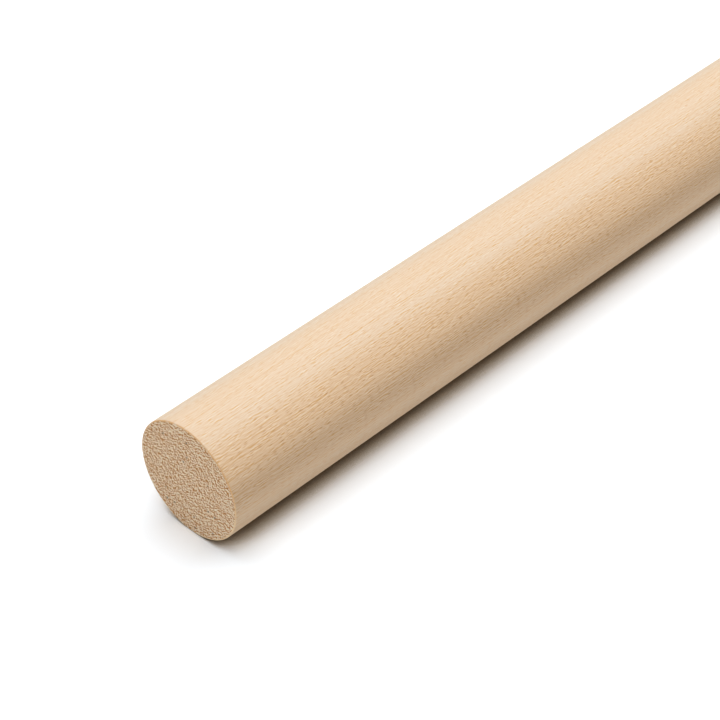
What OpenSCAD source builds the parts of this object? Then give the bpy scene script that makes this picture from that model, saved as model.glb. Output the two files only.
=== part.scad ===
// Wooden dowel rod: one straight round length of pale hardwood,
// cut square at both ends, with the sharp rim of each cut eased by sanding.
// The rod lies along X on the plane z = 0, with its middle at x = 0.

/* [Rod] */
// Diameter of the rod
rod_d = 25; // [10:0.5:60]
// Length of the rod between its two end faces
rod_l = 1000; // [100:1:2400]

/* [Ends] */
// Radius that sanding leaves on the rim of each end face
edge_r = 0.3; // [0.1:0.05:2]

/* [Hidden] */
$fn = 96;
rod_r = rod_d / 2;

// Half of the rod's lengthwise section: its axis is x = 0, and its two outer corners are true arcs.
module half_section() {
    square([rod_r - edge_r, rod_l]);
    translate([0, edge_r])
        square([rod_r, rod_l - 2 * edge_r]);
    for (end_y = [edge_r, rod_l - edge_r])
        translate([rod_r - edge_r, end_y])
            circle(r = edge_r);
}

// The rod is its half section turned once round its axis, then laid down along X.
module dowel_rod() {
    color("#E2C29C")
        translate([-rod_l / 2, 0, rod_r])
            rotate([0, 90, 0])
                rotate_extrude()
                    half_section();
}

dowel_rod();
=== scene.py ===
import math

import bpy
import numpy as np
from mathutils import Matrix, Vector


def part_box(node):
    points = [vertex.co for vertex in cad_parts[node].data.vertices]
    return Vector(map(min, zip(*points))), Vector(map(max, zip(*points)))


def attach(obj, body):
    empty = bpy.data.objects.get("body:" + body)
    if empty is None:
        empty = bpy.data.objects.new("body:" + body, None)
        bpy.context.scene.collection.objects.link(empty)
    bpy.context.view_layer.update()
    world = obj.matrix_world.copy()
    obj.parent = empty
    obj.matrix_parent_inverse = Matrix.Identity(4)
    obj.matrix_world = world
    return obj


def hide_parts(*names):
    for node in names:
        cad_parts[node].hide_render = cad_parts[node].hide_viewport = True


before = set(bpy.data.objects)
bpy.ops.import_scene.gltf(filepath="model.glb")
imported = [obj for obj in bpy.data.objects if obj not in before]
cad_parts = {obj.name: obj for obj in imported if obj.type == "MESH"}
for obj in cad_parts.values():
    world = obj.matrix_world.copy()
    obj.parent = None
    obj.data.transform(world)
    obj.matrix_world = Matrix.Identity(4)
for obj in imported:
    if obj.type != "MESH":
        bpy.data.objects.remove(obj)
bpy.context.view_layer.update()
print("frame loaded:", sorted(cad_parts))

mm = 0.001  # the scene is in metres
low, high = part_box("dowel_rod")
rodLength = high.x - low.x
rodDiameter = high.z - low.z
rodRadius = rodDiameter / 2

# Sizes and faces of the rod
rod = {
    "edgeRadius": 0.3 * mm,   # sanded rim of each end
    "segments": 480,          # faces round the rod
    "faceRings": 64,          # rings from the middle of an end face to its rim
    "rimRings": 5,            # rings over the eased rim
    "sideRings": 20,          # rings along half of the side
    "mergeGap": 0.001 * mm,
}


def addNode(tree, kind, inputs=None, **settings):
    node = tree.nodes.new(kind)
    for name, value in settings.items():
        setattr(node, name, value)
    for key, value in (inputs or {}).items():
        feed(tree, value, node.inputs[key])
    return node


def feed(tree, value, socket):
    if isinstance(value, bpy.types.NodeSocket):
        tree.links.new(value, socket)
    else:
        socket.default_value = value


def doMath(tree, operation, *values):
    node = addNode(tree, "ShaderNodeMath", dict(enumerate(values)), operation=operation)
    return node.outputs[0]


def spread(tree, value, fromLow, fromHigh, toLow=0.0, toHigh=1.0, curve="LINEAR"):
    inputs = {"Value": value, "From Min": fromLow, "From Max": fromHigh}
    inputs.update({"To Min": toLow, "To Max": toHigh})
    return addNode(tree, "ShaderNodeMapRange", inputs, interpolation_type=curve).outputs["Result"]


middleTone = 0.5  # patterns swing about this


# How far a pattern is above or below its middle
def swing(tree, value):
    return doMath(tree, "SUBTRACT", value, middleTone)


# Camera, from the outline of the rod in the photograph
cameraView = {
    "azimuth": -46.42,        # degrees round from the front, towards the near end
    "elevation": 39.49,
    "distance": 379.4 * mm,   # to the near end's middle, along the view
    "focalPixels": 2105.7,
    "frameSide": 720,
    "nearEndPixel": (187.9, 481.0),
    "sensor": 36.0,
    "clipStart": 10 * mm,
    "clipEnd": 200.0,
}


def makeCamera():
    turn = math.radians(cameraView["azimuth"])
    lift = math.radians(cameraView["elevation"])
    back = Vector((math.sin(turn) * math.cos(lift), -math.cos(turn) * math.cos(lift), math.sin(lift)))
    right = Vector((0, 0, 1)).cross(back).normalized()
    up = back.cross(right)
    middle = cameraView["frameSide"] / 2
    perPixel = cameraView["distance"] / cameraView["focalPixels"]
    acrossPixels = cameraView["nearEndPixel"][0] - middle
    downPixels = cameraView["nearEndPixel"][1] - middle
    nearEnd = Vector((low.x, 0, rodRadius))
    place = nearEnd + back * cameraView["distance"]
    place = place - right * acrossPixels * perPixel + up * downPixels * perPixel
    data = bpy.data.cameras.new("photoCamera")
    data.sensor_width = cameraView["sensor"]
    data.lens = cameraView["sensor"] * cameraView["focalPixels"] / cameraView["frameSide"]
    data.clip_start = cameraView["clipStart"]
    data.clip_end = cameraView["clipEnd"]
    camera = bpy.data.objects.new("photoCamera", data)
    camera.matrix_world = Matrix.Translation(place) @ Matrix((right, up, back)).transposed().to_4x4()
    bpy.context.scene.collection.objects.link(camera)
    bpy.context.scene.camera = camera


makeCamera()
print("camera placed")

# Shared grain patterns
grainLook = {
    "pithY": 95 * mm,         # the middle of the tree, beside the rod
    "pithZ": -56 * mm,
    "ringWidth": 1.5 * mm,
    "ringDrift": 2.2 * mm,    # how far the rings wander along the rod
    "ringDetail": 2.0,
    "ringRough": 0.6,
    "driftLength": 140 * mm,
    "driftSeed": 4.2,         # for the streaks along the side
    "grainDetail": 1.0,
}


def newGroup(name, inputs, outputs):
    group = bpy.data.node_groups.new(name, "ShaderNodeTree")
    for socketName, socketKind, value in inputs:
        socket = group.interface.new_socket(socketName, in_out="INPUT", socket_type=socketKind)
        if value is not None:
            socket.default_value = value
    for socketName, socketKind in outputs:
        group.interface.new_socket(socketName, in_out="OUTPUT", socket_type=socketKind)
    return group, group.nodes.new("NodeGroupInput").outputs, group.nodes.new("NodeGroupOutput").inputs


# Noise drawn out along the rod: Along and Across are the size of one mark
def makeStretchedGrain():
    group, given, result = newGroup(
        "stretchedGrain",
        [
            ("Vector", "NodeSocketVector", None),
            ("Along", "NodeSocketFloat", 1.0),
            ("Across", "NodeSocketFloat", 1.0),
            ("Seed", "NodeSocketFloat", 0.0),
        ],
        [("Value", "NodeSocketFloat")],
    )
    perAlong = doMath(group, "DIVIDE", 1.0, given["Along"])
    perAcross = doMath(group, "DIVIDE", 1.0, given["Across"])
    sizes = addNode(group, "ShaderNodeCombineXYZ", {"X": perAlong, "Y": perAcross, "Z": perAcross})
    place = addNode(
        group, "ShaderNodeVectorMath", {0: given["Vector"], 1: sizes.outputs[0]}, operation="MULTIPLY"
    )
    noise = addNode(
        group,
        "ShaderNodeTexNoise",
        {
            "Vector": place.outputs[0],
            "W": given["Seed"],
            "Scale": 1.0,
            "Detail": grainLook["grainDetail"],
        },
        noise_dimensions="4D",
    )
    feed(group, noise.outputs["Fac"], result["Value"])
    return group


# Year rings of the tree, cut by the rod: nearly straight bands round a far pith
def makeYearRings(stretchedGrain):
    group, given, result = newGroup(
        "yearRings",
        [("Vector", "NodeSocketVector", None)],
        [("Tone", "NodeSocketFloat")],
    )
    parts = addNode(group, "ShaderNodeSeparateXYZ", {0: given["Vector"]})
    acrossY = doMath(group, "SUBTRACT", parts.outputs["Y"], grainLook["pithY"])
    acrossZ = doMath(group, "SUBTRACT", parts.outputs["Z"], grainLook["pithZ"])
    squareY = doMath(group, "MULTIPLY", acrossY, acrossY)
    squareZ = doMath(group, "MULTIPLY", acrossZ, acrossZ)
    fromPith = doMath(group, "SQRT", doMath(group, "ADD", squareY, squareZ))
    drift = addNode(
        group,
        "ShaderNodeGroup",
        {"Vector": given["Vector"], "Along": grainLook["driftLength"], "Across": rodDiameter},
        node_tree=stretchedGrain,
    )
    drifted = doMath(group, "MULTIPLY_ADD", drift.outputs["Value"], grainLook["ringDrift"], fromPith)
    count = doMath(group, "DIVIDE", drifted, grainLook["ringWidth"])
    bands = addNode(
        group,
        "ShaderNodeTexNoise",
        {
            "W": count,
            "Scale": 1.0,
            "Detail": grainLook["ringDetail"],
            "Roughness": grainLook["ringRough"],
        },
        noise_dimensions="1D",
    )
    feed(group, bands.outputs["Fac"], result["Tone"])
    return group


# A flat place counted in marks of one size, moved along by the seed
def inMarks(group, given):
    parts = addNode(group, "ShaderNodeSeparateXYZ", {0: given["Vector"]})
    along = doMath(group, "DIVIDE", parts.outputs["X"], given["Along"])
    across = doMath(group, "DIVIDE", parts.outputs["Y"], given["Across"])
    along = doMath(group, "ADD", along, given["Seed"])
    return addNode(group, "ShaderNodeCombineXYZ", {"X": along, "Y": across}).outputs[0]


# Evenly spaced streaks along X on a flat place: Along and Across are the size of one
def makeStreaks():
    group, given, result = newGroup(
        "streaks",
        [
            ("Vector", "NodeSocketVector", None),
            ("Along", "NodeSocketFloat", 1.0),
            ("Across", "NodeSocketFloat", 1.0),
            ("Pitch", "NodeSocketFloat", 0.4),
            ("Order", "NodeSocketFloat", 1.0),
            ("Seed", "NodeSocketFloat", 0.0),
        ],
        [("Value", "NodeSocketFloat")],
    )
    weave = addNode(
        group,
        "ShaderNodeTexGabor",
        {
            "Vector": inMarks(group, given),
            "Scale": 1.0,
            "Frequency": given["Pitch"],
            "Anisotropy": given["Order"],
            "Orientation": math.pi / 2,
        },
        gabor_type="2D",
    )
    feed(group, weave.outputs["Value"], result["Value"])
    return group


# Loose spindles on a flat place, each with its own strength from 0 to 1, and how near its middle is
def makeSpindles():
    group, given, result = newGroup(
        "spindles",
        [
            ("Vector", "NodeSocketVector", None),
            ("Along", "NodeSocketFloat", 1.0),
            ("Across", "NodeSocketFloat", 1.0),
            ("Size", "NodeSocketFloat", 0.5),
            ("Seed", "NodeSocketFloat", 0.0),
        ],
        [("Strength", "NodeSocketFloat"), ("Near", "NodeSocketFloat")],
    )
    cells = addNode(
        group,
        "ShaderNodeTexVoronoi",
        {"Vector": inMarks(group, given), "Scale": 1.0},
        voronoi_dimensions="2D",
    )
    near = spread(group, cells.outputs["Distance"], 0.0, given["Size"], 1.0, 0.0, "SMOOTHSTEP")
    tint = addNode(group, "ShaderNodeSeparateXYZ", {0: cells.outputs["Color"]})
    feed(group, tint.outputs["X"], result["Strength"])
    feed(group, near, result["Near"])
    return group


stretchedGrain = makeStretchedGrain()
yearRings = makeYearRings(stretchedGrain)
streaks = makeStreaks()
spindles = makeSpindles()


# One of these patterns, placed in a material with its own sizes
def spindleNode(tree, place, along, across, seed, size=0.5):
    inputs = {"Vector": place, "Along": along, "Across": across, "Size": size, "Seed": seed}
    return addNode(tree, "ShaderNodeGroup", inputs, node_tree=spindles).outputs


def streakNode(tree, place, along, across, pitch, seed, order=1.0):
    inputs = {"Vector": place, "Along": along, "Across": across}
    inputs.update({"Pitch": pitch, "Order": order, "Seed": seed})
    return addNode(tree, "ShaderNodeGroup", inputs, node_tree=streaks).outputs["Value"]


def grainNode(tree, place, along, across, seed):
    inputs = {"Vector": place, "Along": along, "Across": across, "Seed": seed}
    return addNode(tree, "ShaderNodeGroup", inputs, node_tree=stretchedGrain).outputs["Value"]


def ringNode(tree, coords):
    return addNode(tree, "ShaderNodeGroup", {"Vector": coords}, node_tree=yearRings).outputs["Tone"]


# A colour as a picture shows it, 0 to 255, made linear by the sRGB curve
def linear(red, green, blue):
    out = []
    for level in (red, green, blue):
        share = level / 255
        out.append(share / 12.92 if share <= 0.04045 else ((share + 0.055) / 1.055) ** 2.4)
    return (*out, 1.0)


# Dark to light through one middle tone
def toneRamp(tree, value, dark, middle, light):
    node = addNode(tree, "ShaderNodeValToRGB", {"Fac": value})
    stops = node.color_ramp.elements
    stops[0].color = linear(*dark)
    stops[1].color = linear(*light)
    stops.new(middleTone).color = linear(*middle)
    return node.outputs["Color"]


# The sockets of a Mix node are numbered, because its names repeat for each kind of data
def blend(tree, share, first, second, kind="MIX"):
    node = addNode(tree, "ShaderNodeMix", data_type="RGBA", blend_type=kind)
    feed(tree, share, node.inputs[0])
    feed(tree, first, node.inputs[6])
    feed(tree, second, node.inputs[7])
    return node.outputs[2]


def addBump(tree, shader, height, strength, depth):
    bump = addNode(tree, "ShaderNodeBump", {"Height": height, "Strength": strength, "Distance": depth})
    feed(tree, bump.outputs["Normal"], shader.inputs["Normal"])


def newMaterial(name):
    material = bpy.data.materials.new(name)
    material.use_nodes = True
    tree = material.node_tree
    coords = addNode(tree, "ShaderNodeTexCoord").outputs["Object"]
    return material, tree, coords, tree.nodes["Principled BSDF"]


# Side of the rod: pale sanded beech with short ray dashes along the grain
sideLook = {
    "sideDark": (228, 184, 124),  # the quarter faces
    "sideMid": (238, 211, 181),
    "sideLight": (245, 226, 204),
    "outerDark": (222, 173, 115),  # warmer where the side looks away from the pith, the flank where the light grazes: wood figure with painted relief shading
    "outerMid": (236, 202, 164),
    "outerLight": (248, 222, 191),
    "outerStart": 0.78,       # how squarely the side looks that way where the warmth starts
    "outerFull": 0.985,
    "coreShadeTint": (0.875, 0.885, 0.905),  # painted core shade: a duller band low on the near side, where the light turns away
    "coreShadeTurn": 74.0,        # degrees round from the top
    "coreShadeSpread": 22.0,
    "paleTint": (1.05, 1.055, 1.06),  # painted bounce light from the floor: a paler band under it
    "paleTurn": 98.0,
    "paleSpread": 14.0,
    "backTint": (0.955, 1.02, 1.10),  # painted sheen: a paler band over the top, on the far side
    "backTurn": -42.0,
    "backSpread": 34.0,
    "rimTone": (236, 190, 136),
    "rimPale": (255, 226, 184),  # paler low on the rim
    "rimPaleFrom": 0.75,      # heights where that starts and is full, as shares of the diameter
    "rimPaleFull": 0.35,
    "rimStart": 0.3,          # shares of the eased edge where the rim's colour starts and is full
    "rimFull": 0.7,
    "rimPatch": 0.9 * mm,     # the rim's colour comes and goes at this size
    "rimLow": 0.3,
    "rimHigh": 0.5,
    "rimSeed": 2.9,
    "fineLength": 1.0 * mm,
    "fineWidth": 0.26 * mm,
    "fineSeed": 10.3,
    "fineLeast": 0.66,        # share of the fine streaks between their clusters
    "fineMost": 3.74,         # and in them
    "clusterLength": 2.4 * mm,  # the fine streaks come and go at this size
    "clusterWidth": 0.7 * mm,
    "clusterLow": 0.35,
    "clusterHigh": 0.65,
    "clusterSeed": 6.4,
    "dashLength": 2.2 * mm,
    "dashWidth": 0.36 * mm,
    "dashSize": 0.32,         # half of a dash, as a share of the room it has
    "dashLow": 0.45,          # strength under which a dash is missing
    "dashHigh": 0.95,
    "dashSeed": 71.9,
    "dashTint": (0.91, 0.76, 0.58),
    "dashOuter": (0.72, 0.56, 0.41),  # browner dashes on the face that looks away from the pith, partly painted relief shading where the light grazes
    "glintTint": (1.09, 1.165, 1.29),  # pale dashes between the dark ones
    "glintSeed": 33.2,
    "strokeLength": 3.2 * mm,
    "strokeWidth": 0.24 * mm,
    "strokeSeed": 80.6,
    "fibreLength": 30 * mm,
    "fibreWidth": 0.24 * mm,
    "fibreSeed": 50.1,
    "strokeShare": 1.6,
    "fibreShare": 1.3,
    "ringShare": 0.3,
    "pitch": 0.28,            # how close together all of the streaks lie
    "quietShare": 0.95,       # contrast of the grain on the quarter faces
    "outerShare": 1.4,        # and on the face that looks away from the pith, raised there partly as painted relief shading where the light grazes
    "sideBump": 0.004 * mm,
    "bumpShare": 0.5,
    "sideSheen": 0.31,
    "sideRough": 0.72,
}


# Share of the way from a quarter face to the face that looks away from the pith, which is the flank
# where the light grazes, so what it warms and sharpens is partly painted relief shading
def outerFaceAndShade(tree, coords):
    far = math.hypot(grainLook["pithY"], grainLook["pithZ"])
    away = (0.0, -grainLook["pithY"] / far / rodRadius, -grainLook["pithZ"] / far / rodRadius)
    fromAxis = addNode(
        tree, "ShaderNodeVectorMath", {0: coords, 1: (0.0, 0.0, rodRadius)}, operation="SUBTRACT"
    )
    facing = addNode(
        tree, "ShaderNodeVectorMath", {0: fromAxis.outputs[0], 1: away}, operation="DOT_PRODUCT"
    )
    start = sideLook["outerStart"]
    return spread(tree, facing.outputs["Value"], start, sideLook["outerFull"], curve="SMOOTHSTEP")


# The side rolled out flat: along the rod, and round it from the top
def rolledOut(tree, coords):
    parts = addNode(tree, "ShaderNodeSeparateXYZ", {0: coords})
    height = doMath(tree, "SUBTRACT", parts.outputs["Z"], rodRadius)
    turn = doMath(tree, "ARCTAN2", parts.outputs["Y"], height)
    arc = doMath(tree, "MULTIPLY", turn, rodRadius)
    return addNode(tree, "ShaderNodeCombineXYZ", {"X": parts.outputs["X"], "Y": arc}).outputs[0]


# A band of painted shading that runs the length of the side and wanders a little: painted shade where
# its tint darkens, painted bounce light and painted sheen where it lightens
def paintedShadingBand(tree, place, turn, width):
    arc = addNode(tree, "ShaderNodeSeparateXYZ", {0: place}).outputs["Y"]
    drift = grainNode(tree, place, grainLook["driftLength"], rodDiameter, grainLook["driftSeed"])
    drifted = doMath(tree, "MULTIPLY_ADD", swing(tree, drift), grainLook["ringDrift"], arc)
    middle = -math.radians(turn) * rodRadius
    off = doMath(tree, "ABSOLUTE", doMath(tree, "SUBTRACT", drifted, middle))
    return spread(tree, off, 0.0, math.radians(width) * rodRadius, 1.0, 0.0, "SMOOTHSTEP")


# Short dashes along the grain, some strong and some missing
def dashMask(tree, place, seed):
    look = sideLook
    dash = spindleNode(tree, place, look["dashLength"], look["dashWidth"], seed, look["dashSize"])
    strength = spread(tree, dash["Strength"], look["dashLow"], look["dashHigh"])
    return doMath(tree, "MULTIPLY", strength, dash["Near"])


# The sanded rim: how much of it shows, and its colour
def sandedRim(tree, coords):
    look = sideLook
    parts = addNode(tree, "ShaderNodeSeparateXYZ", {0: coords})
    fromMiddle = doMath(tree, "ABSOLUTE", parts.outputs["X"])
    edgeStart = rodLength / 2 - rod["edgeRadius"]
    start = edgeStart + rod["edgeRadius"] * look["rimStart"]
    full = edgeStart + rod["edgeRadius"] * look["rimFull"]
    patch = grainNode(tree, coords, look["rimPatch"], look["rimPatch"], look["rimSeed"])
    worn = spread(tree, patch, look["rimLow"], look["rimHigh"])
    share = doMath(tree, "MULTIPLY", spread(tree, fromMiddle, start, full), worn)
    paleFrom = rodDiameter * look["rimPaleFrom"]
    paleFull = rodDiameter * look["rimPaleFull"]
    pale = spread(tree, parts.outputs["Z"], paleFrom, paleFull, curve="SMOOTHSTEP")
    colour = blend(tree, pale, linear(*look["rimTone"]), linear(*look["rimPale"]))
    return share, colour


def makeSideMaterial():
    material, tree, coords, shader = newMaterial("beechSide")
    look = sideLook
    place = rolledOut(tree, coords)
    swings = {}
    for name in ("fine", "stroke", "fibre"):
        sizes = (look[name + "Length"], look[name + "Width"], look["pitch"], look[name + "Seed"])
        swings[name] = swing(tree, streakNode(tree, place, *sizes))
    cluster = grainNode(tree, place, look["clusterLength"], look["clusterWidth"], look["clusterSeed"])
    strength = spread(
        tree, cluster, look["clusterLow"], look["clusterHigh"], look["fineLeast"], look["fineMost"]
    )
    grain = doMath(tree, "MULTIPLY", swings["fine"], strength)
    for name in ("stroke", "fibre"):
        grain = doMath(tree, "MULTIPLY_ADD", swings[name], look[name + "Share"], grain)
    outerAndShade = outerFaceAndShade(tree, coords)
    contrast = spread(tree, outerAndShade, 0.0, 1.0, look["quietShare"], look["outerShare"])
    bands = swing(tree, ringNode(tree, coords))
    tone = doMath(tree, "MULTIPLY_ADD", grain, contrast, middleTone)
    tone = doMath(tree, "MULTIPLY_ADD", bands, look["ringShare"], tone)
    quiet = toneRamp(tree, tone, look["sideDark"], look["sideMid"], look["sideLight"])
    warm = toneRamp(tree, tone, look["outerDark"], look["outerMid"], look["outerLight"])
    wood = blend(tree, outerAndShade, quiet, warm)
    dashTint = blend(tree, outerAndShade, (*look["dashTint"], 1.0), (*look["dashOuter"], 1.0))
    wood = blend(tree, dashMask(tree, place, look["dashSeed"]), wood, dashTint, "MULTIPLY")
    glint = dashMask(tree, place, look["glintSeed"])
    wood = blend(tree, glint, wood, (*look["glintTint"], 1.0), "MULTIPLY")
    # Painted shading along the side: core shade, bounce light from the floor, and sheen over the far top
    for name in ("coreShade", "pale", "back"):
        paintedBand = paintedShadingBand(tree, place, look[name + "Turn"], look[name + "Spread"])
        wood = blend(tree, paintedBand, wood, (*look[name + "Tint"], 1.0), "MULTIPLY")
    rim, rimColour = sandedRim(tree, coords)
    feed(tree, blend(tree, rim, wood, rimColour), shader.inputs["Base Color"])
    shader.inputs["Specular IOR Level"].default_value = look["sideSheen"]
    shader.inputs["Roughness"].default_value = look["sideRough"]
    addBump(tree, shader, grain, look["bumpShare"], look["sideBump"])
    return material


# End faces: sawn end grain, darker, with torn fibre marks
endLook = {
    "endDark": (189, 128, 64),
    "endMid": (253, 222, 183),
    "endLight": (254, 240, 217),
    "markLength": 0.22 * mm,
    "markWidth": 0.24 * mm,
    "markSeed": 6.1,
    "markShare": 1.3,
    "lineLength": 0.45 * mm,
    "lineWidth": 0.74 * mm,
    "linePitch": 1.06,
    "lineShare": 7.9,
    "lineOrder": 0.44,        # 1 keeps them all along the fibres, 0 lets them lie any way
    "lineSeed": 6.1,
    "patchShare": 0.25,
    "speckLength": 1.6 * mm,  # the room that each speck has
    "speckWidth": 2.4 * mm,
    "speckSize": 0.17,        # half of a speck, as a share of its room
    "speckSeed": 26.1,
    "speckTone": (46, 30, 17),
    "speckLow": 0.82,         # strength under which a speck is missing
    "speckHigh": 0.9,
    "endBump": 0.001 * mm,
    "bumpShare": 0.5,
    "endSheen": 0.13,
    "markLow": 0.3,           # strengths of a mark between which it goes from rough to smoother
    "markHigh": 0.7,
    "darkRough": 0.9,
    "paleRough": 0.75,
}


# The lie of the fibres on an end, and the torn patches that its material and its relief share
endGrain = {
    "endShift": 10.0,         # makes the two ends differ
    "strokeTurn": -20.0,      # degrees that the fibre marks lean on the face
    "strokeShear": 0.18,      # how far each row of marks is shifted along from the row below
    "reliefSize": 0.75 * mm,  # size of one torn patch
    "reliefDetail": 1.0,
    "reliefTwist": 0.8,
    "reliefSeed": 3.7,
    "reliefDepth": 0.015 * mm,
    "reliefFade": 0.5 * mm,   # the relief dies out this near to the rim
    "pitFull": 0.3,           # a patch is at its deepest under this, and flat over the next
    "pitNone": 0.62,
}


# An end face laid flat with its torn fibres along X, and another place for each end
def facePlace(tree, coords):
    lean = math.radians(endGrain["strokeTurn"])
    turned = addNode(
        tree, "ShaderNodeVectorRotate", {"Vector": coords, "Angle": lean}, rotation_type="X_AXIS"
    )
    parts = addNode(tree, "ShaderNodeSeparateXYZ", {0: turned.outputs[0]})
    along = doMath(tree, "MULTIPLY_ADD", parts.outputs["X"], endGrain["endShift"], parts.outputs["Y"])
    along = doMath(tree, "MULTIPLY_ADD", parts.outputs["Z"], endGrain["strokeShear"], along)
    return addNode(tree, "ShaderNodeCombineXYZ", {"X": along, "Y": parts.outputs["Z"]}).outputs[0]


def endPatches(tree, position):
    noise = addNode(
        tree,
        "ShaderNodeTexNoise",
        {
            "Vector": facePlace(tree, position),
            "W": endGrain["reliefSeed"],
            "Scale": 1 / endGrain["reliefSize"],
            "Detail": endGrain["reliefDetail"],
            "Distortion": endGrain["reliefTwist"],
        },
        noise_dimensions="4D",
    )
    return noise.outputs[0]


def makeEndMaterial():
    material, tree, coords, shader = newMaterial("beechEndGrain")
    look = endLook
    place = facePlace(tree, coords)
    marks = spindleNode(tree, place, look["markLength"], look["markWidth"], look["markSeed"])["Strength"]
    lineSizes = (look["lineLength"], look["lineWidth"], look["linePitch"])
    lines = streakNode(tree, place, *lineSizes, look["lineSeed"], look["lineOrder"])
    patches = endPatches(tree, coords)
    tone = middleTone
    for name, value in (("mark", marks), ("line", lines), ("patch", patches)):
        tone = doMath(tree, "MULTIPLY_ADD", swing(tree, value), look[name + "Share"], tone)
    wood = toneRamp(tree, tone, look["endDark"], look["endMid"], look["endLight"])
    dots = spindleNode(
        tree, place, look["speckLength"], look["speckWidth"], look["speckSeed"], look["speckSize"]
    )
    speck = spread(tree, dots["Strength"], look["speckLow"], look["speckHigh"])
    speck = doMath(tree, "MULTIPLY", speck, dots["Near"])
    feed(tree, blend(tree, speck, wood, linear(*look["speckTone"])), shader.inputs["Base Color"])
    shader.inputs["Specular IOR Level"].default_value = look["endSheen"]
    rough = spread(tree, marks, look["markLow"], look["markHigh"], look["darkRough"], look["paleRough"])
    feed(tree, rough, shader.inputs["Roughness"])
    addBump(tree, shader, marks, look["bumpShare"], look["endBump"])
    return material


sideMaterial = makeSideMaterial()
endMaterial = makeEndMaterial()
print("materials made")


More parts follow.
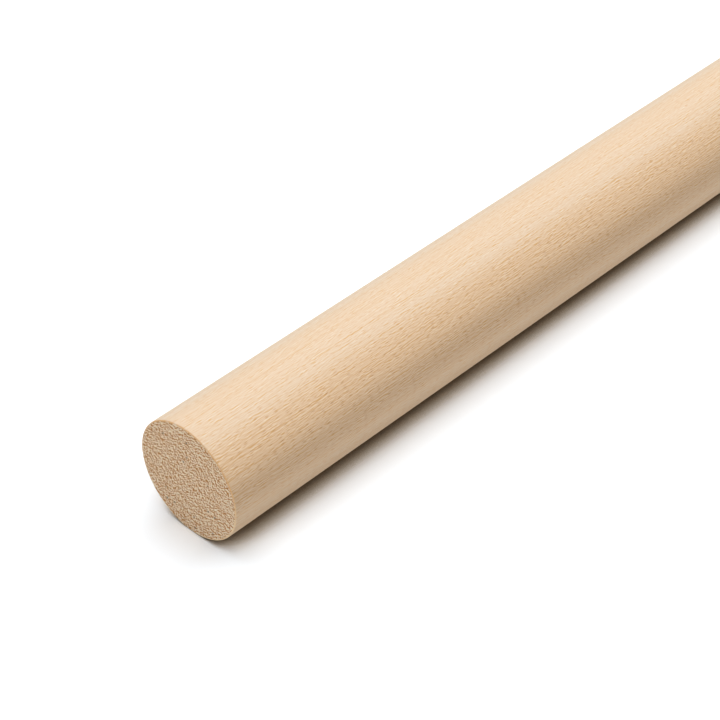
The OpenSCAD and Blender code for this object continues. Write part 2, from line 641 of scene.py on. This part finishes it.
# The rod: half of its section is turned round X, then the other half is the same one swung round
def makeRodTree():
    tree = bpy.data.node_groups.new("turnedRod", "GeometryNodeTree")
    sockets = [
        ("Length", "NodeSocketFloat"),
        ("Diameter", "NodeSocketFloat"),
        ("Edge Radius", "NodeSocketFloat"),
        ("Segments", "NodeSocketInt"),
        ("Face Rings", "NodeSocketInt"),
        ("Rim Rings", "NodeSocketInt"),
        ("Side Rings", "NodeSocketInt"),
        ("Relief Depth", "NodeSocketFloat"),
        ("Relief Fade", "NodeSocketFloat"),
        ("Side Material", "NodeSocketMaterial"),
        ("End Material", "NodeSocketMaterial"),
    ]
    for name, kind in sockets:
        tree.interface.new_socket(name, in_out="INPUT", socket_type=kind)
    tree.interface.new_socket("Geometry", in_out="OUTPUT", socket_type="NodeSocketGeometry")
    given = tree.nodes.new("NodeGroupInput").outputs
    output = tree.nodes.new("NodeGroupOutput")

    radius = doMath(tree, "MULTIPLY", given["Diameter"], 0.5)
    edge = given["Edge Radius"]
    faceRadius = doMath(tree, "SUBTRACT", radius, edge)
    endX = doMath(tree, "MULTIPLY", given["Length"], -0.5)
    sideX = doMath(tree, "ADD", endX, edge)
    columns = doMath(tree, "ADD", given["Segments"], 1)

    # A flat grid one unit across gives the turn, and the share of the way along each stretch
    flat = addNode(tree, "GeometryNodeInputPosition").outputs[0]
    flatParts = addNode(tree, "ShaderNodeSeparateXYZ", {0: flat})
    turn = doMath(tree, "MULTIPLY", doMath(tree, "ADD", flatParts.outputs["X"], 0.5), 2 * math.pi)
    share = doMath(tree, "ADD", flatParts.outputs["Y"], 0.5)
    rimTurn = doMath(tree, "MULTIPLY", share, math.pi / 2)
    roundOut = doMath(tree, "SINE", rimTurn)
    roundBack = doMath(tree, "SUBTRACT", 1.0, doMath(tree, "COSINE", rimTurn))
    turnY = doMath(tree, "COSINE", turn)
    turnZ = doMath(tree, "SINE", turn)

    def stretch(rings, radiusSpan, alongSpan, radiusShare, alongShare):
        rows = doMath(tree, "ADD", rings, 1)
        grid = addNode(
            tree,
            "GeometryNodeMeshGrid",
            {"Size X": 1.0, "Size Y": 1.0, "Vertices X": columns, "Vertices Y": rows},
        )
        out = spread(tree, radiusShare, 0.0, 1.0, *radiusSpan)
        along = spread(tree, alongShare, 0.0, 1.0, *alongSpan)
        y = doMath(tree, "MULTIPLY", out, turnY)
        z = doMath(tree, "MULTIPLY_ADD", out, turnZ, radius)
        place = addNode(tree, "ShaderNodeCombineXYZ", {"X": along, "Y": y, "Z": z})
        turned = addNode(
            tree,
            "GeometryNodeSetPosition",
            {"Geometry": grid.outputs["Mesh"], "Position": place.outputs[0]},
        )
        return turned.outputs[0]

    face = stretch(given["Face Rings"], (0.0, faceRadius), (endX, endX), share, share)
    rim = stretch(given["Rim Rings"], (faceRadius, radius), (endX, sideX), roundOut, roundBack)
    side = stretch(given["Side Rings"], (radius, radius), (sideX, 0.0), share, share)
    half = addNode(tree, "GeometryNodeJoinGeometry")
    for piece in (side, rim, face):
        tree.links.new(piece, half.inputs[0])
    other = addNode(
        tree, "GeometryNodeTransform", {"Geometry": half.outputs[0], "Rotation": (0.0, 0.0, math.pi)}
    )
    whole = addNode(tree, "GeometryNodeJoinGeometry")
    for piece in (other.outputs[0], half.outputs[0]):
        tree.links.new(piece, whole.inputs[0])
    closed = addNode(
        tree, "GeometryNodeMergeByDistance", {"Geometry": whole.outputs[0], "Distance": rod["mergeGap"]}
    )

    # Torn end grain: pits that go into the wood, none at the rim
    position = addNode(tree, "GeometryNodeInputPosition").outputs[0]
    parts = addNode(tree, "ShaderNodeSeparateXYZ", {0: position})
    z = doMath(tree, "SUBTRACT", parts.outputs["Z"], radius)
    squareY = doMath(tree, "POWER", parts.outputs["Y"], 2.0)
    squareZ = doMath(tree, "POWER", z, 2.0)
    fromAxis = doMath(tree, "SQRT", doMath(tree, "ADD", squareY, squareZ))
    inFromRim = doMath(tree, "SUBTRACT", faceRadius, fromAxis)
    onFace = doMath(tree, "GREATER_THAN", inFromRim, rod["mergeGap"])
    fade = spread(tree, inFromRim, 0.0, given["Relief Fade"], curve="SMOOTHSTEP")
    patches = endPatches(tree, position)
    pit = spread(tree, patches, endGrain["pitFull"], endGrain["pitNone"], 1.0, 0.0)
    depth = doMath(tree, "MULTIPLY", doMath(tree, "MULTIPLY", pit, fade), given["Relief Depth"])
    inward = doMath(tree, "MULTIPLY", doMath(tree, "SIGN", parts.outputs["X"]), -1.0)
    offset = addNode(tree, "ShaderNodeCombineXYZ", {"X": doMath(tree, "MULTIPLY", depth, inward)})
    torn = addNode(
        tree,
        "GeometryNodeSetPosition",
        {"Geometry": closed.outputs[0], "Selection": onFace, "Offset": offset.outputs[0]},
    )
    smooth = addNode(tree, "GeometryNodeSetShadeSmooth", {0: torn.outputs[0]})
    real = addNode(tree, "GeometryNodeRealizeInstances", {0: smooth.outputs[0]})
    sideSet = addNode(
        tree,
        "GeometryNodeSetMaterial",
        {"Geometry": real.outputs[0], "Material": given["Side Material"]},
    )
    endSet = addNode(
        tree,
        "GeometryNodeSetMaterial",
        {"Geometry": sideSet.outputs[0], "Selection": onFace, "Material": given["End Material"]},
    )
    tree.links.new(endSet.outputs[0], output.inputs[0])
    return tree


# Room for the side as two strips, and for the end faces as two discs beside them
bakeLayout = {
    "gap": 0.004,
    "discWidth": 0.13,
}


def layOutForBake(mesh):
    corners = np.empty(len(mesh.loops), np.int32)
    mesh.loops.foreach_get("vertex_index", corners)
    points = np.empty(len(mesh.vertices) * 3, np.float32)
    mesh.vertices.foreach_get("co", points)
    points = points.reshape(-1, 3)[corners].astype(float)
    starts = np.empty(len(mesh.polygons), np.int32)
    mesh.polygons.foreach_get("loop_start", starts)
    counts = np.empty(len(mesh.polygons), np.int32)
    mesh.polygons.foreach_get("loop_total", counts)
    slots = np.empty(len(mesh.polygons), np.int32)
    mesh.polygons.foreach_get("material_index", slots)
    endSlot = list(mesh.materials).index(endMaterial)
    onEnd = np.repeat(slots == endSlot, counts)
    middleX = np.repeat(np.add.reduceat(points[:, 0], starts) / counts, counts)
    gap = bakeLayout["gap"]
    disc = bakeLayout["discWidth"]
    strip = (1 - disc - 4 * gap) / 2

    y = points[:, 1]
    z = points[:, 2] - rodRadius
    turn = np.arctan2(z, y) / (2 * math.pi) % 1
    least = np.repeat(np.minimum.reduceat(turn, starts), counts)
    most = np.repeat(np.maximum.reduceat(turn, starts), counts)
    turn = np.where((most - least > 0.5) & (turn < 0.5), turn + 1, turn)  # faces that close the round
    far = middleX > 0
    fromEnd = rodLength / 2 - np.abs(points[:, 0])
    sideU = gap + turn * strip + far * (strip + gap)
    sideV = gap + fromEnd / (rodLength / 2) * (1 - 2 * gap)
    discU = 1 - gap - disc / 2 + y / rodDiameter * disc
    discV = gap + disc / 2 + z / rodDiameter * disc + far * (disc + gap)
    places = np.stack([np.where(onEnd, discU, sideU), np.where(onEnd, discV, sideV)], 1)
    layer = mesh.uv_layers.new(name="OFBake")
    layer.uv.foreach_set("vector", places.astype(np.float32).ravel())


def makeRod():
    tree = makeRodTree()
    values = {
        "Length": rodLength,
        "Diameter": rodDiameter,
        "Edge Radius": rod["edgeRadius"],
        "Segments": rod["segments"],
        "Face Rings": rod["faceRings"],
        "Rim Rings": rod["rimRings"],
        "Side Rings": rod["sideRings"],
        "Relief Depth": endGrain["reliefDepth"],
        "Relief Fade": endGrain["reliefFade"],
        "Side Material": sideMaterial,
        "End Material": endMaterial,
    }
    carrier = bpy.data.objects.new("rodCarrier", bpy.data.meshes.new("rodCarrier"))
    bpy.context.scene.collection.objects.link(carrier)
    modifier = carrier.modifiers.new("turnedRod", "NODES")
    modifier.node_group = tree
    for item in tree.interface.items_tree:
        if item.in_out == "INPUT":
            modifier[item.identifier] = values[item.name]
    evaluated = carrier.evaluated_get(bpy.context.evaluated_depsgraph_get())
    mesh = bpy.data.meshes.new_from_object(evaluated)
    mesh.name = "beechRod"
    bpy.data.objects.remove(carrier)
    layOutForBake(mesh)
    piece = bpy.data.objects.new("beechRod", mesh)
    bpy.context.scene.collection.objects.link(piece)
    return piece


beechRod = makeRod()
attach(beechRod, "root")
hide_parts("dowel_rod")
print("rod made:", len(beechRod.data.polygons), "faces")

# Studio: white floor, one large soft light overhead, a pale card by the near end, pale surroundings
studio = {
    "floorSize": 60.0,
    "floorDrop": 0.01 * mm,   # keeps the rod's lowest line clear of the floor
    "floorTone": (0.695, 0.66, 0.61),  # what the rod sees of the floor
    "floorShown": (1.24, 1.302, 1.364),  # what the camera sees of it, so that it reads as white
    "paintedContactShade": 0.02,      # painted contact shadow: share of that left where the rod touches
    "contactShut": 0.1,       # openness of the floor at which it is that dark, and at which it is white
    "contactOpen": 0.568,
    "contactReach": 8.4 * mm,
    "contactSamples": 16,
    # how much warmer the painted contact shadow turns as it deepens, red, green and blue
    "paintedShadeWarmth": (1.0, 1.17, 1.42),
    "keyStrength": 2.65,
    "keyWidth": 85.0,         # degrees across, as seen from the rod
    "keyTiltX": 17.0,         # degrees from overhead
    "keyTiltY": 3.2,
    "cardStrength": 0.56,     # a pale card beside the near end
    "cardWidth": 40.0,
    "cardLift": 20.0,
    "fillStrength": 0.16,     # what the surroundings give the rod
    "backdropStrength": 1.0,  # and how they look, which is white
}


# Rays that see the white backdrop: the camera's own, and those off a sheen or through glass
def backdropRays(tree):
    rays = addNode(tree, "ShaderNodeLightPath").outputs
    seen = doMath(tree, "MAXIMUM", rays["Is Camera Ray"], rays["Is Glossy Ray"])
    return doMath(tree, "MAXIMUM", seen, rays["Is Transmission Ray"])


def makeFloor():
    half = studio["floorSize"] / 2
    corners = [(-half, -half), (half, -half), (half, half), (-half, half)]
    mesh = bpy.data.meshes.new("floor")
    mesh.from_pydata([(x, y, -studio["floorDrop"]) for x, y in corners], [], [(0, 1, 2, 3)])
    floor = bpy.data.objects.new("floor", mesh)
    bpy.context.scene.collection.objects.link(floor)
    material = bpy.data.materials.new("paleFloor")
    material.use_nodes = True
    tree = material.node_tree
    tree.nodes.clear()
    lit = addNode(tree, "ShaderNodeBsdfDiffuse", {"Color": (*studio["floorTone"], 1.0)})
    # Painted contact shadow for the camera's view of the floor: ambient occlusion near the rod darkens
    # it, warmer as it deepens, on top of the lamps' own shadow
    space = addNode(
        tree,
        "ShaderNodeAmbientOcclusion",
        {"Distance": studio["contactReach"]},
        samples=studio["contactSamples"],
    )
    shut = studio["contactShut"]
    tone = studio["paintedContactShade"]
    shade = spread(tree, space.outputs["AO"], shut, studio["contactOpen"], tone, 1.0, "SMOOTHSTEP")
    warm = [doMath(tree, "POWER", shade, power) for power in studio["paintedShadeWarmth"]]
    warmth = addNode(tree, "ShaderNodeCombineXYZ", dict(enumerate(warm)))
    shownWithShade = addNode(
        tree,
        "ShaderNodeVectorMath",
        {0: studio["floorShown"], 1: warmth.outputs[0]},
        operation="MULTIPLY",
    )
    shown = addNode(tree, "ShaderNodeBsdfDiffuse", {"Color": shownWithShade.outputs[0]})
    mixed = addNode(tree, "ShaderNodeMixShader", {0: backdropRays(tree)})
    tree.links.new(lit.outputs[0], mixed.inputs[1])
    tree.links.new(shown.outputs[0], mixed.inputs[2])
    addNode(tree, "ShaderNodeOutputMaterial", {"Surface": mixed.outputs[0]})
    mesh.materials.append(material)


def makeLamp(name, strength, width, towards):
    data = bpy.data.lights.new(name, "SUN")
    data.energy = strength
    data.angle = math.radians(width)
    lamp = bpy.data.objects.new(name, data)
    lamp.matrix_world = Vector(towards).to_track_quat("Z", "Y").to_matrix().to_4x4()
    bpy.context.scene.collection.objects.link(lamp)


def makeLights():
    tiltX = math.tan(math.radians(studio["keyTiltX"]))
    tiltY = math.tan(math.radians(studio["keyTiltY"]))
    makeLamp("softbox", studio["keyStrength"], studio["keyWidth"], (tiltX, tiltY, 1.0))
    lift = math.tan(math.radians(studio["cardLift"]))
    makeLamp("card", studio["cardStrength"], studio["cardWidth"], (-1.0, 0.0, lift))

    world = bpy.data.worlds.new("paleRoom")
    bpy.context.scene.world = world
    world.use_nodes = True
    tree = world.node_tree
    fill = studio["fillStrength"]
    strength = spread(tree, backdropRays(tree), 0.0, 1.0, fill, studio["backdropStrength"])
    background = tree.nodes["Background"]
    background.inputs["Color"].default_value = (1.0, 1.0, 1.0, 1.0)
    feed(tree, strength, background.inputs["Strength"])


makeFloor()
makeLights()
bpy.context.scene.view_settings.view_transform = "Standard"
print("studio set")
